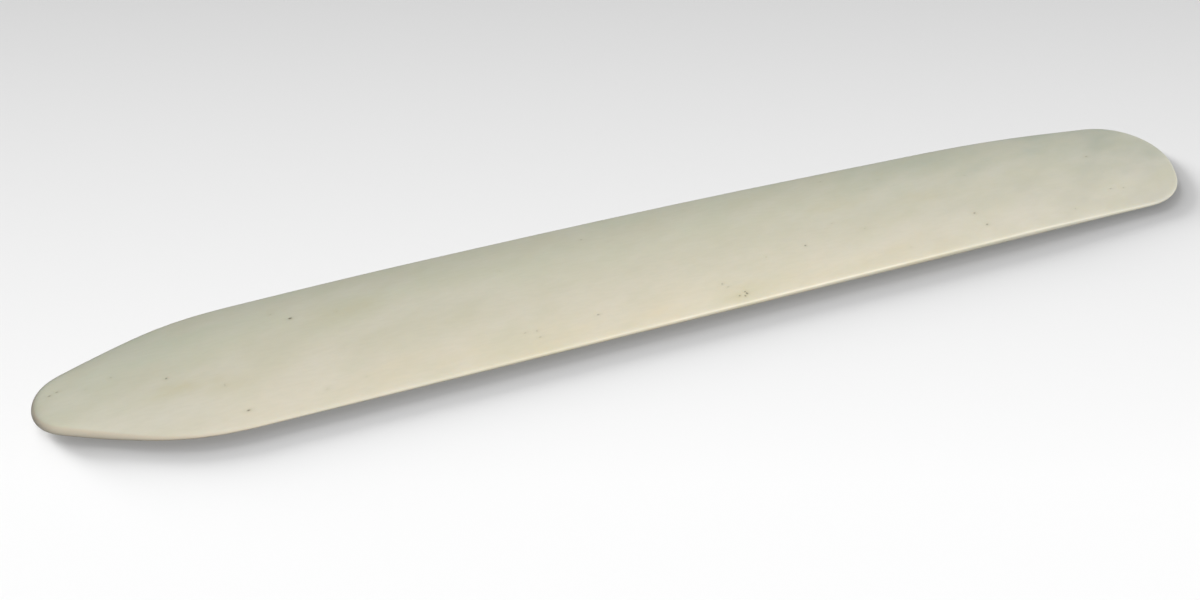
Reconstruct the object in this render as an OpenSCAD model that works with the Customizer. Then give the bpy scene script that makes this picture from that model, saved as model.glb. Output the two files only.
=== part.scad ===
// Bone folder: one blade, sawn from a bone, shaped, rounded and polished by hand.
// It lies on its flat underside. The point is towards -X and the heel towards +X.
// The straight edge is on the -Y side and the slightly bowed edge on the +Y side.
// The origin is under the middle of the blade, on the surface that it rests on.

/* [Blade] */
// Length from the point to the heel
blade_length = 152; // [120:1:220]
// Width at the belly, the widest stretch
blade_width = 22; // [18:0.5:32]
// Thickness along the middle of the blade
blade_t = 3; // [2.4:0.1:5]
// Distance from the point to where the belly begins
belly_from = 41; // [36:1:55]
// Distance from the point to where the belly ends
belly_to = 82; // [60:1:90]

/* [Faces] */
// How much of the thickness the upper face has lost where it meets the edge
crown_share = 0.55; // [0.35:0.05:0.65]
// Radius of the rounded edge along the blade
edge_round = 0.3; // [0.2:0.05:0.5]
// Radius of the rounded edge round the point
point_edge_round = 1; // [0.4:0.05:1.1]
// Radius of the rounded edge round the heel
heel_edge_round = 0.4; // [0.2:0.05:0.6]
// Depth rubbed off the middle of the underside to make its flat
underside_flat_depth = 0.1; // [0.02:0.02:0.4]

/* [Point] */
// Radius of the rounded point, seen from above
point_r = 5; // [3:0.1:7]
// Thickness at the point
point_t = 2; // [1.6:0.1:2.4]
// Height of the underside at the point above the surface
point_lift = 0.3; // [0:0.1:0.8]
// Distance of the swell behind the point from the end
swell_at = 11; // [9:0.5:13]
// Radius of the swell, seen from above
swell_r = 7.6; // [6.8:0.1:8.4]
// Thickness at the swell
swell_t = 2.3; // [2:0.1:2.8]
// Height of the underside at the swell above the surface
swell_lift = 0.1; // [0:0.1:0.4]
// Distance of the shoulder, where the point begins, from the end
shoulder_at = 19.2; // [17:0.2:26]
// How far the bowed edge has come in at the shoulder
shoulder_in = 0.8; // [0:0.2:4.4]

/* [Heel] */
// Distance of the place where the bowed edge turns in, from the heel
turn_in_at = 24; // [18:1:32]
// How far the bowed edge has come in there
turn_in = 2; // [0:0.2:4.4]
// How far the bowed edge has come in at the heel's corner
heel_far_in = 3.6; // [2.6:0.2:8.6]
// Distance between that corner's round and the straight edge
heel_far_inset = 1.4; // [0:0.1:3]
// Radius of the heel's corner on the straight edge
heel_near_r = 8; // [5:0.1:8.5]
// Distance of that corner short of the heel's end
heel_near_short = 0.8; // [0:0.1:1.5]
// Thickness at the heel
heel_t = 1.8; // [1.6:0.1:2.4]
// Height of the underside at the heel above the surface
heel_lift = 0.2; // [0:0.1:0.6]

/* [Hidden] */

POLISHED_BONE = [0.83, 0.81, 0.70];

// Facets round one station's disc, and steps across each part of its section
TURN_FN = 56;
CROWN_STEPS = 12;
EDGE_STEPS = 5;
UNDER_STEPS = 10;
// Steps round each bend in the outline
BEND_STEPS = 4;
// The upper face curves more the nearer it comes to the edge: 2 would be an even curve
CROWN_POWER = 2.3;

half_w = blade_width / 2;
shoulder_r = half_w - shoulder_in / 2;
turn_in_r = half_w - turn_in / 2;
heel_far_r = half_w - (heel_far_in + heel_far_inset) / 2;
point_end = -blade_length / 2;
heel_end = blade_length / 2;

// How far the upper face has fallen, and how it slopes, at u from the middle of the blade
function fall(u) = blade_t * crown_share * pow(u / half_w, CROWN_POWER);
function slope(u) = atan(fall(u) * CROWN_POWER / u);

// The point on an ellipse, with half axes r and h, where the surface tilts by a
function on_ellipse(r, h, a) =
    [r * r * sin(a), h * h * cos(a)] / sqrt(pow(r * sin(a), 2) + pow(h * cos(a), 2));

// Right half of the section through a station: the underside, which is half an ellipse that
// the flat cuts short, then the rounded edge, then the upper face
function section(r, t, lift, round) =
    let (
        edge_tilt = slope(r - round),
        edge_start = r - round + round * sin(edge_tilt),
        edge_z = lift + t - fall(edge_start) - round * cos(edge_tilt),
        below = edge_z - lift + underside_flat_depth
    )
    concat(
        [for (i = [0 : UNDER_STEPS]) let (p = on_ellipse(r, below, 90 * pow(i / UNDER_STEPS, 2)))
            [p[0], max(edge_z - p[1], lift)]],
        [for (i = [1 : EDGE_STEPS]) let (a = (90 - edge_tilt) * i / EDGE_STEPS)
            [r - round + round * cos(a), edge_z + round * sin(a)]],
        [for (i = [CROWN_STEPS - 1 : -1 : 0]) let (u = edge_start * i / CROWN_STEPS)
            [u, lift + t - fall(u)]]
    );

// A station of the blade is a disc, [x, y, radius, thickness, lift, radius of its rounded
// edge]. From the shoulder to the place where the bowed edge turns in, it touches both edges.
function beside_straight_edge(r) = r - half_w;
stations = [
    [point_end + point_r, 0, point_r, point_t, point_lift, point_edge_round],
    [point_end + swell_at, 0, swell_r, swell_t, swell_lift, point_edge_round],
    [point_end + shoulder_at, beside_straight_edge(shoulder_r), shoulder_r, blade_t, 0, edge_round],
    [point_end + belly_from, 0, half_w, blade_t, 0, edge_round],
    [point_end + belly_to, 0, half_w, blade_t, 0, edge_round],
    [heel_end - turn_in_at, beside_straight_edge(turn_in_r), turn_in_r, blade_t, 0, edge_round],
    [heel_end - heel_far_r, beside_straight_edge(heel_far_r) + heel_far_inset,
        heel_far_r, heel_t, heel_lift, heel_edge_round]
];

// The stations that round off the bend at station i. Each bend starts and ends half the
// shorter gap away from it, and is a parabola between the two.
function bend(i) =
    let (
        before = stations[i - 1],
        here = stations[i],
        after = stations[i + 1],
        reach = min(here[0] - before[0], after[0] - here[0]) / 2,
        from = here + (before - here) * reach / (here[0] - before[0]),
        to = here + (after - here) * reach / (after[0] - here[0])
    )
    [for (k = [0 : BEND_STEPS]) let (u = k / BEND_STEPS)
        (1 - u) * (1 - u) * from + 2 * u * (1 - u) * here + u * u * to];

module disc(s) {
    translate([s[0], s[1], 0])
        rotate_extrude($fn = TURN_FN)
            polygon(section(s[2], s[3], s[4], s[5]));
}

module blade() {
    color(POLISHED_BONE)
        hull() {
            disc(stations[0]);
            for (i = [1 : len(stations) - 2], s = bend(i)) disc(s);
            disc(stations[len(stations) - 1]);
            disc([heel_end - heel_near_short - heel_near_r, beside_straight_edge(heel_near_r),
                heel_near_r, heel_t, heel_lift, heel_edge_round]);
        }
}

blade();
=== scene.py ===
import math
import random

import bmesh
import bpy
from mathutils import Matrix, Vector, noise
from mathutils.bvhtree import BVHTree
from mathutils.kdtree import KDTree


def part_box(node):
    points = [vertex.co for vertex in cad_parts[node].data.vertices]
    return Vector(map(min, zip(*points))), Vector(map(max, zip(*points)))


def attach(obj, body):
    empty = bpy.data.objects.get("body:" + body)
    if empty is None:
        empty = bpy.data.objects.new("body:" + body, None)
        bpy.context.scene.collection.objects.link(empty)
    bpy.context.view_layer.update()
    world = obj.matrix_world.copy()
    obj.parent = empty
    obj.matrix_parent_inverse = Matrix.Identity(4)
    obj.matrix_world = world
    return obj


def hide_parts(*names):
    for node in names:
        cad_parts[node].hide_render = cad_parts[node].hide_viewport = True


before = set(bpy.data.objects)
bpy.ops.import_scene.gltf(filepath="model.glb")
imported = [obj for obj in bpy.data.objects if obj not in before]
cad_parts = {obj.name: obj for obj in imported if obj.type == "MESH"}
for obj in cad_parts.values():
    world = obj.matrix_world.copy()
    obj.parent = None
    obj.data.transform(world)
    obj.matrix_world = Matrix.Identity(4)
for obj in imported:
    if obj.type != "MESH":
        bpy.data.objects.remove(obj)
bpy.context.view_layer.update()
MM = 0.001


# ---- The blade -----------------------------------------------------------------------
# The whole folder is one strip sawn lengthwise from the wall of a leg bone. It is
# filed to a blunt point and a round heel, its faces are scraped to a low crown, and its
# edges are rounded and polished on fine paper until the bone has a soft wax-like shine.

RINGS = 438
ROUND = 128
END_CURVE = 5.0 * MM
SAME_SPOT = 0.001 * MM
CLEAR_OF_BLADE = 20 * MM

sawn = bmesh.new()
sawn.from_mesh(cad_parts["blade"].data)
bmesh.ops.remove_doubles(sawn, verts=sawn.verts, dist=SAME_SPOT)
blade_surface = BVHTree.FromBMesh(sawn)
point_tip = min(sawn.verts, key=lambda vert: vert.co.x).co.copy()
heel_tip = max(sawn.verts, key=lambda vert: vert.co.x).co.copy()
sawn.free()


def along_blade(share):
    """Where a ring lies: close to the next at the round ends, and evenly spaced between them."""
    even = heel_tip.x - point_tip.x + 2 * END_CURVE * (math.pi / 2 - 1)
    end_run = END_CURVE * math.pi / 2
    run = share * even
    if run < end_run:
        return point_tip.x + END_CURVE * (1 - math.cos(run / END_CURVE))
    if run > even - end_run:
        return heel_tip.x - END_CURVE * (1 - math.cos((even - run) / END_CURVE))
    return point_tip.x + END_CURVE + run - end_run


def core_of(x):
    """The middle of the blade's section at x, and half its width and thickness."""
    height = point_tip.lerp(heel_tip, (x - point_tip.x) / (heel_tip.x - point_tip.x)).z
    straight = blade_surface.ray_cast(Vector((x, -CLEAR_OF_BLADE, height)), Vector((0, 1, 0)))[0]
    bowed = blade_surface.ray_cast(Vector((x, CLEAR_OF_BLADE, height)), Vector((0, -1, 0)))[0]
    y = (straight.y + bowed.y) / 2
    under = blade_surface.ray_cast(Vector((x, y, -CLEAR_OF_BLADE)), Vector((0, 0, 1)))[0]
    crown = blade_surface.ray_cast(Vector((x, y, CLEAR_OF_BLADE)), Vector((0, 0, -1)))[0]
    middle = Vector((x, y, (under.z + crown.z) / 2))
    return middle, (bowed.y - straight.y) / 2, (crown.z - under.z) / 2


blade_bm = bmesh.new()
bmesh.ops.create_uvsphere(blade_bm, u_segments=ROUND, v_segments=RINGS, radius=1)
lay_along_x = Matrix.Rotation(-math.pi / 2, 3, "Y")
bmesh.ops.rotate(blade_bm, verts=blade_bm.verts, cent=(0, 0, 0), matrix=lay_along_x)
cores = {}
for vert in blade_bm.verts:
    ring = round(math.acos(max(-1, min(1, -vert.co.x))) / math.pi * RINGS)
    if ring in (0, RINGS):
        vert.co = point_tip if ring == 0 else heel_tip
        continue
    if ring not in cores:
        cores[ring] = core_of(along_blade(ring / RINGS))
    core, half_w, half_t = cores[ring]
    turn = math.atan2(vert.co.z, vert.co.y)
    ray = Vector((0, half_w * math.cos(turn), half_t * math.sin(turn)))
    vert.co = blade_surface.ray_cast(core, ray.normalized())[0]

# Fine paper takes the file marks off and leaves the faces a little uneven.
POLISHING_PASSES = 8
POLISHING_SHARE = 0.5
UNEVEN_DEPTH = 0.03 * MM
UNEVEN_LENGTH = 14 * MM
UNEVEN_WIDTH = 6 * MM
for _ in range(POLISHING_PASSES):
    bmesh.ops.smooth_vert(
        blade_bm, verts=blade_bm.verts, factor=POLISHING_SHARE,
        use_axis_x=True, use_axis_y=True, use_axis_z=True,
    )
bmesh.ops.recalc_face_normals(blade_bm, faces=blade_bm.faces)
blade_bm.normal_update()
for vert in blade_bm.verts:
    spot = Vector((vert.co.x / UNEVEN_LENGTH, vert.co.y / UNEVEN_WIDTH, vert.co.z / UNEVEN_WIDTH))
    vert.co -= vert.normal * UNEVEN_DEPTH * (0.5 + 0.5 * noise.noise(spot))


def on_face(along, across):
    """The spot on the upper face at shares of the length and of the width there, from 0 to 1."""
    x = point_tip.x + along * (heel_tip.x - point_tip.x)
    core, half_w, _ = core_of(x)
    above = Vector((x, core.y + (2 * across - 1) * half_w, CLEAR_OF_BLADE))
    return blade_surface.ray_cast(above, Vector((0, 0, -1)))[0]


# Small blood vessels ran through the bone. Where the saw and file opened one it shows as a
# grey-brown pit like a pin prick, a little longer along the blade than across it. They lie
# in loose groups, and a few faint ones are scattered over the whole face. Each group is
# (share of the length from the point, share of the width there from the straight edge,
# how many, spread in millimetres, darkness).
PIT_GROUPS = [
    (0.02, 0.65, 2, 0.6, 0.6), (0.06, 0.6, 1, 0.2, 0.5), (0.1, 0.45, 1, 0.2, 0.9),
    (0.14, 0.3, 2, 0.6, 0.4), (0.15, 0.1, 1, 0.2, 0.9), (0.2, 0.7, 4, 0.12, 1.0),
    (0.38, 0.15, 3, 1.0, 0.55), (0.43, 0.15, 1, 0.2, 0.6), (0.45, 0.8, 1, 0.2, 0.6),
    (0.54, 0.15, 2, 0.4, 0.55), (0.55, 0.06, 5, 0.5, 0.9), (0.62, 0.3, 1, 0.2, 0.9),
    (0.77, 0.2, 2, 1.2, 0.8), (0.87, 0.1, 1, 0.2, 0.5), (0.91, 0.2, 2, 1.0, 0.5),
    (0.92, 0.6, 1, 0.2, 0.6),
]
STRAY_PITS = 14
STRAY_ALONG = (0.03, 0.97)
STRAY_ACROSS = (0.08, 0.92)
STRAY_DARKNESS = (0.25, 0.4)
PALEST_IN_GROUP = 0.8
PIT_HALF_LENGTH = (0.12, 0.24)
PIT_HALF_WIDTH = (0.09, 0.14)
PIT_DEPTH = 0.07 * MM
PIT_REACH = 1.5 * MM
SMUDGE_SPREAD = 2.6
FINER_MESH_WITHIN = (1.1 * MM, 0.6 * MM)
chance = random.Random(5)
pits = []


def open_pit(spot, darkness):
    half_length = chance.uniform(*PIT_HALF_LENGTH) * MM
    half_width = chance.uniform(*PIT_HALF_WIDTH) * MM
    pits.append((spot, half_length, half_width, darkness))


for along, across, count, spread, darkness in PIT_GROUPS:
    middle = on_face(along, across)
    for _ in range(count):
        shift = Vector((chance.gauss(0, spread * MM), chance.gauss(0, spread * MM / 2), 0))
        open_pit(middle + shift, darkness * chance.uniform(PALEST_IN_GROUP, 1))
for _ in range(STRAY_PITS):
    stray_spot = on_face(chance.uniform(*STRAY_ALONG), chance.uniform(*STRAY_ACROSS))
    open_pit(stray_spot, chance.uniform(*STRAY_DARKNESS))

pit_tree = KDTree(len(pits))
for number, (spot, *_) in enumerate(pits):
    pit_tree.insert(spot, number)
pit_tree.balance()
for reach in FINER_MESH_WITHIN:
    close = {vert for vert in blade_bm.verts if pit_tree.find(vert.co)[2] < reach}
    edges = [edge for edge in blade_bm.edges if close.issuperset(edge.verts)]
    bmesh.ops.subdivide_edges(blade_bm, edges=edges, cuts=1, use_grid_fill=True)
pit_layer = blade_bm.verts.layers.float.new("pit")
smudge_layer = blade_bm.verts.layers.float.new("smudge")
for vert in blade_bm.verts:
    for spot, number, _ in pit_tree.find_range(vert.co, PIT_REACH):
        _, half_length, half_width, darkness = pits[number]
        along = (vert.co.x - spot.x) / half_length
        across = (vert.co.y - spot.y) / half_width
        away = along * along + across * across
        vert[pit_layer] = max(vert[pit_layer], darkness * math.exp(-away))
        smudge = darkness * math.exp(-away / SMUDGE_SPREAD ** 2)
        vert[smudge_layer] = max(vert[smudge_layer], smudge)
    vert.co.z -= PIT_DEPTH * vert[pit_layer]

# Fat left in the bone has yellowed it in soft patches, it is paler where it is dense, and it
# is greyer at the heel's corner. Each patch is (share of the length, share of the width
# there, half its length and half its width in millimetres, strength).
YELLOWED = [
    (0.11, 0.35, 4, 1, 0.7), (0.15, 0.3, 3, 1, 0.5), (0.25, 0.65, 5, 1.5, 0.35),
    (0.55, 0.07, 3, 1.2, 0.9), (0.67, 0.6, 4, 1, 0.5), (0.75, 0.5, 3, 1, 0.5),
]
PALE = [(0.1, 0.15, 6, 1.5, 0.9), (0.2, 0.2, 6, 2.5, 0.5)]
GREYED = [(0.96, 0.8, 8, 6, 1.0), (0.98, 0.5, 2, 1.2, 0.5)]
for name, patches in (("yellowed", YELLOWED), ("pale", PALE), ("greyed", GREYED)):
    layer = blade_bm.verts.layers.float.new(name)
    for share_along, share_across, half_length, half_width, most in patches:
        middle = on_face(share_along, share_across)
        for vert in blade_bm.verts:
            along = (vert.co.x - middle.x) / (half_length * MM)
            across = (vert.co.y - middle.y) / (half_width * MM)
            vert[layer] = min(1.0, vert[layer] + most * math.exp(-along * along - across * across))

# Round the point, the rounded edge is painted browner and darker where it turns down: painted
# shade.
POINT_SHADE_FROM = point_tip.x + 30 * MM
POINT_SHADE_TO = point_tip.x + 20 * MM
POINT_SHADE_TILT = 0.90
POINT_SHADE_BLEND = 0.12
blade_bm.normal_update()
point_shade_layer = blade_bm.verts.layers.float.new("painted_point_shade")
for vert in blade_bm.verts:
    towards_point = (POINT_SHADE_FROM - vert.co.x) / (POINT_SHADE_FROM - POINT_SHADE_TO)
    tilted = (POINT_SHADE_TILT - vert.normal.z) / POINT_SHADE_BLEND
    vert[point_shade_layer] = max(0.0, min(1.0, towards_point)) * max(0.0, min(1.0, tilted))

bmesh.ops.recalc_face_normals(blade_bm, faces=blade_bm.faces)
blade_mesh = bpy.data.meshes.new("polished_blade")
blade_bm.to_mesh(blade_mesh)
blade_bm.free()
blade_mesh.shade_smooth()
polished_blade = bpy.data.objects.new("polished_blade", blade_mesh)
bpy.context.scene.collection.objects.link(polished_blade)


WARM_LIT_CREAM = (0.78, 0.735, 0.62)
GREENER_SHADED_IVORY = (0.70, 0.73, 0.605)
EDGE_YELLOW = (0.80, 0.72, 0.53)
POINT_TINT = (0.945, 0.99, 1.0)
HEEL_PAINTED_SHADE = (0.77, 0.81, 0.86)
PINKER_CLOUD = (0.80, 0.775, 0.70)
OLIVE_CLOUD = (0.665, 0.66, 0.515)
DENSE_PALE = (0.80, 0.79, 0.73)
CORNER_GREY = (0.88, 0.895, 0.885)
POINT_EDGE_SHADE_BROWN = (0.72, 0.62, 0.50)
FAT_YELLOW = (0.66, 0.61, 0.40)
GRAIN_BROWN = (0.58, 0.57, 0.46)
SMUDGE_BROWN = (0.42, 0.40, 0.27)
PIT_BROWN = (0.16, 0.15, 0.11)

HALF_WIDTH = 11 * MM
POINT_TINT_FROM = -45 * MM
POINT_TINT_TO = -76 * MM
HEEL_SHADE_TO = 80 * MM


def polished_bone():
    """Satin bone: painted warm cream near the straight edge and darker, greener ivory near the
    bowed edge as painted shade.
    """
    material = bpy.data.materials.new("polished_bone")
    material.use_nodes = True
    tree = material.node_tree
    nodes, links = tree.nodes, tree.links
    bone = nodes["Principled BSDF"]
    bone.inputs["Subsurface Weight"].default_value = 0.2
    bone.inputs["Subsurface Radius"].default_value = (1.0, 0.75, 0.5)
    bone.inputs["Subsurface Scale"].default_value = 1.2 * MM
    bone.inputs["IOR"].default_value = 1.54
    place = nodes.new("ShaderNodeTexCoord").outputs["Object"]

    def pattern(length, width, detail=3.0, turn=0):
        """Noise in patches about length by width mm, turned in degrees from the blade's line."""
        stretch = nodes.new("ShaderNodeMapping")
        stretch.vector_type = "TEXTURE"
        stretch.inputs["Rotation"].default_value = (0, 0, math.radians(turn))
        stretch.inputs["Scale"].default_value = (length * MM, width * MM, width * MM)
        cloud = nodes.new("ShaderNodeTexNoise")
        cloud.inputs["Scale"].default_value = 1.0
        cloud.inputs["Detail"].default_value = detail
        links.new(place, stretch.inputs["Vector"])
        links.new(stretch.outputs["Vector"], cloud.inputs["Vector"])
        return cloud.outputs["Fac"]

    def ranged(value, low, high, to_low, to_high):
        span = nodes.new("ShaderNodeMapRange")
        span.interpolation_type = "SMOOTHSTEP"
        span.inputs["From Min"].default_value = low
        span.inputs["From Max"].default_value = high
        span.inputs["To Min"].default_value = to_low
        span.inputs["To Max"].default_value = to_high
        links.new(value, span.inputs["Value"])
        return span.outputs["Result"]

    def times(one, other):
        product = nodes.new("ShaderNodeMath")
        product.operation = "MULTIPLY"
        for socket, value in zip(product.inputs, (one, other)):
            if isinstance(value, (int, float)):
                socket.default_value = value
            else:
                links.new(value, socket)
        return product.outputs["Value"]

    def blend(share, under, over, how="MIX"):
        """The colour over laid on the colour under by share."""
        mix = nodes.new("ShaderNodeMix")
        mix.data_type = "RGBA"
        mix.blend_type = how
        links.new(share, mix.inputs["Factor"])
        for socket, colour in (("A", under), ("B", over)):
            target = [s for s in mix.inputs if s.name == socket and s.type == "RGBA"][0]
            if isinstance(colour, tuple):
                target.default_value = (*colour, 1)
            else:
                links.new(colour, target)
        return [s for s in mix.outputs if s.type == "RGBA"][0]

    def painted(name):
        layer = nodes.new("ShaderNodeAttribute")
        layer.attribute_name = name
        return layer.outputs["Fac"]

    apart = nodes.new("ShaderNodeSeparateXYZ")
    links.new(place, apart.inputs["Vector"])
    along, across = apart.outputs["X"], apart.outputs["Y"]
    # Painted shade: the bowed edge's side is painted darker and greener, the straight edge's side
    # lighter and warmer.
    body = blend(ranged(across, -HALF_WIDTH, HALF_WIDTH, 0, 1), WARM_LIT_CREAM, GREENER_SHADED_IVORY)

    # The straight edge is yellower, but not at the point or the heel.
    yellow_edge = ranged(across, -5 * MM, -10 * MM, 0, 1)
    yellow_edge = times(yellow_edge, ranged(along, -48 * MM, -30 * MM, 0, 1))
    yellow_edge = times(yellow_edge, ranged(along, 28 * MM, 56 * MM, 1, 0))
    yellow_edge = times(yellow_edge, ranged(pattern(6, 2, turn=10), 0.3, 0.7, 0.2, 1.0))
    body = blend(times(yellow_edge, 0.5), body, EDGE_YELLOW)
    body = blend(ranged(along, POINT_TINT_FROM, POINT_TINT_TO, 0, 1), body, POINT_TINT, "MULTIPLY")
    # Painted shade: the blade is painted darker and bluer towards the heel.
    body = blend(ranged(along, 0, HEEL_SHADE_TO, 0, 1), body, HEEL_PAINTED_SHADE, "MULTIPLY")

    # Soft clouds, then the patches, the painted shade round the point's edge, the grain and the
    # pits.
    body = blend(ranged(pattern(8, 4, turn=12), 0.3, 0.7, 0, 0.4), body, PINKER_CLOUD)
    body = blend(ranged(pattern(9, 4.5, turn=20), 0.35, 0.75, 0, 0.4), body, OLIVE_CLOUD)
    body = blend(times(painted("pale"), 0.4), body, DENSE_PALE)
    body = blend(times(painted("greyed"), 0.8), body, CORNER_GREY, "MULTIPLY")
    body = blend(times(painted("painted_point_shade"), 0.55), body, POINT_EDGE_SHADE_BROWN)
    yellowed = times(painted("yellowed"), ranged(pattern(3, 1.2, 4.0, turn=15), 0.3, 0.7, 0.3, 1.0))
    body = blend(times(yellowed, 0.6), body, FAT_YELLOW)
    grain = pattern(1.6, 0.4, 4.0)
    body = blend(ranged(grain, 0.3, 0.75, 0, 0.12), body, GRAIN_BROWN)
    body = blend(times(painted("smudge"), 0.28), body, SMUDGE_BROWN)
    body = blend(ranged(painted("pit"), 0.1, 0.9, 0, 0.85), body, PIT_BROWN)
    links.new(body, bone.inputs["Base Color"])
    links.new(ranged(pattern(7, 2.5), 0.3, 0.7, 0.42, 0.54), bone.inputs["Roughness"])
    bump = nodes.new("ShaderNodeBump")
    bump.inputs["Strength"].default_value = 0.12
    bump.inputs["Distance"].default_value = 0.02 * MM
    links.new(grain, bump.inputs["Height"])
    links.new(bump.outputs["Normal"], bone.inputs["Normal"])
    return material


blade_mesh.materials.append(polished_bone())
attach(polished_blade, "root")
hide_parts("blade")


# ---- The floor -----------------------------------------------------------------------
# A plain pale sheet that the folder lies on, painted white in front and a little greyer at the back
# as painted shade.

FLOOR_HALF_SIZE = 3
FADE_TURN = math.radians(20)
FADE_FROM = -35 * MM
FADE_TO = 69 * MM
FRONT_WHITE = 0.92
BACK_PAINTED_SHADE = 0.63

floor_bm = bmesh.new()
bmesh.ops.create_grid(floor_bm, x_segments=1, y_segments=1, size=FLOOR_HALF_SIZE)
floor_mesh = bpy.data.meshes.new("floor")
floor_bm.to_mesh(floor_mesh)
floor_bm.free()
floor = bpy.data.objects.new("floor", floor_mesh)
bpy.context.scene.collection.objects.link(floor)


def pale_floor():
    """Matt paper, painted white in front and pale grey at the back as painted shade."""
    material = bpy.data.materials.new("pale_floor")
    material.use_nodes = True
    nodes, links = material.node_tree.nodes, material.node_tree.links
    paper = nodes["Principled BSDF"]
    paper.inputs["Roughness"].default_value = 1.0
    paper.inputs["Specular IOR Level"].default_value = 0.0
    # Painted shade: the colour fades from white in front to grey at the back.
    turned = nodes.new("ShaderNodeMapping")
    turned.inputs["Rotation"].default_value = (0, 0, FADE_TURN)
    fade = nodes.new("ShaderNodeMapRange")
    fade.inputs["From Min"].default_value = FADE_FROM
    fade.inputs["From Max"].default_value = FADE_TO
    fade.inputs["To Min"].default_value = FRONT_WHITE
    fade.inputs["To Max"].default_value = BACK_PAINTED_SHADE
    apart = nodes.new("ShaderNodeSeparateXYZ")
    links.new(nodes.new("ShaderNodeTexCoord").outputs["Object"], turned.inputs["Vector"])
    links.new(turned.outputs["Vector"], apart.inputs["Vector"])
    links.new(apart.outputs["Y"], fade.inputs["Value"])
    links.new(fade.outputs["Result"], paper.inputs["Base Color"])
    return material


floor_mesh.materials.append(pale_floor())
floor.visible_diffuse = False


# ---- The camera ----------------------------------------------------------------------
# It looks down on the folder from the straight edge's side, nearer to the point.

CAMERA_ELEVATION = math.radians(41.6)
CAMERA_TURN = math.radians(20)
CAMERA_DISTANCE = 174 * MM
CAMERA_ASIDE = Vector((-8.5, -2.6, 0)) * MM
CAMERA_VIEW = math.radians(46.5)

lowest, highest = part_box("blade")
rest_middle = Vector(((lowest[0] + highest[0]) / 2, (lowest[1] + highest[1]) / 2, lowest[2]))
looking = Vector((
    math.sin(CAMERA_TURN) * math.cos(CAMERA_ELEVATION),
    math.cos(CAMERA_TURN) * math.cos(CAMERA_ELEVATION),
    -math.sin(CAMERA_ELEVATION),
))
camera_data = bpy.data.cameras.new("camera")
camera_data.sensor_width = 36
camera_data.angle = CAMERA_VIEW
camera_data.clip_start = 5 * MM
camera = bpy.data.objects.new("camera", camera_data)
camera.location = rest_middle + CAMERA_ASIDE - looking * CAMERA_DISTANCE
camera.rotation_euler = looking.to_track_quat("-Z", "Y").to_euler()
bpy.context.scene.collection.objects.link(camera)
bpy.context.scene.camera = camera


# ---- The light -----------------------------------------------------------------------
# Plain soft studio light. A warm key from the front right and a weak fill from the point's
# side light the blade alone. A window behind, the light off its sill and the ceiling light
# the floor, where they make a long soft shadow.

def group_of(name, thing):
    group = bpy.data.collections.new(name)
    group.objects.link(thing)
    return group


def aimed(name, kind, turn, elevation, distance):
    """A lamp aimed at the blade. Its turn is from the straight edge's side towards the heel."""
    lamp = bpy.data.objects.new(name, bpy.data.lights.new(name, kind))
    turn, elevation = math.radians(turn), math.radians(elevation)
    away = Vector((
        math.sin(turn) * math.cos(elevation),
        -math.cos(turn) * math.cos(elevation),
        math.sin(elevation),
    ))
    lamp.location = rest_middle + away * distance
    lamp.rotation_euler = away.to_track_quat("Z", "Y").to_euler()
    bpy.context.scene.collection.objects.link(lamp)
    return lamp


key = aimed("key", "AREA", turn=40, elevation=49, distance=1.2)
key.data.size = 0.4
key.data.energy = 13.8
key.data.color = (1.0, 0.975, 0.91)
key.light_linking.receiver_collection = group_of("lit_by_key", polished_blade)

fill = aimed("fill", "SUN", turn=300, elevation=15, distance=1)
fill.data.angle = math.radians(60)
fill.data.energy = 0.35
fill.data.color = (1.0, 0.96, 0.94)
fill.light_linking.receiver_collection = group_of("lit_by_fill", polished_blade)

window = aimed("window", "SUN", turn=203, elevation=32, distance=1)
window.data.angle = math.radians(54)
window.data.energy = 1.9
window.light_linking.receiver_collection = group_of("lit_by_window", floor)

sill = aimed("sill", "SUN", turn=212, elevation=14, distance=1)
sill.data.angle = math.radians(20)
sill.data.energy = 4.3
sill.light_linking.receiver_collection = group_of("lit_by_sill", floor)

ceiling = aimed("ceiling", "SUN", turn=0, elevation=89, distance=1)
ceiling.data.angle = math.radians(60)
ceiling.data.energy = 0.95
ceiling.light_linking.receiver_collection = group_of("lit_by_ceiling", floor)
ceiling.light_linking.blocker_collection = group_of("blocks_ceiling", floor)

world = bpy.data.worlds.new("studio")
world.use_nodes = True
world.node_tree.nodes["Background"].inputs["Color"].default_value = (1, 1, 1, 1)
world.node_tree.nodes["Background"].inputs["Strength"].default_value = 0.12
bpy.context.scene.world = world
bpy.context.scene.view_settings.view_transform = "Standard"
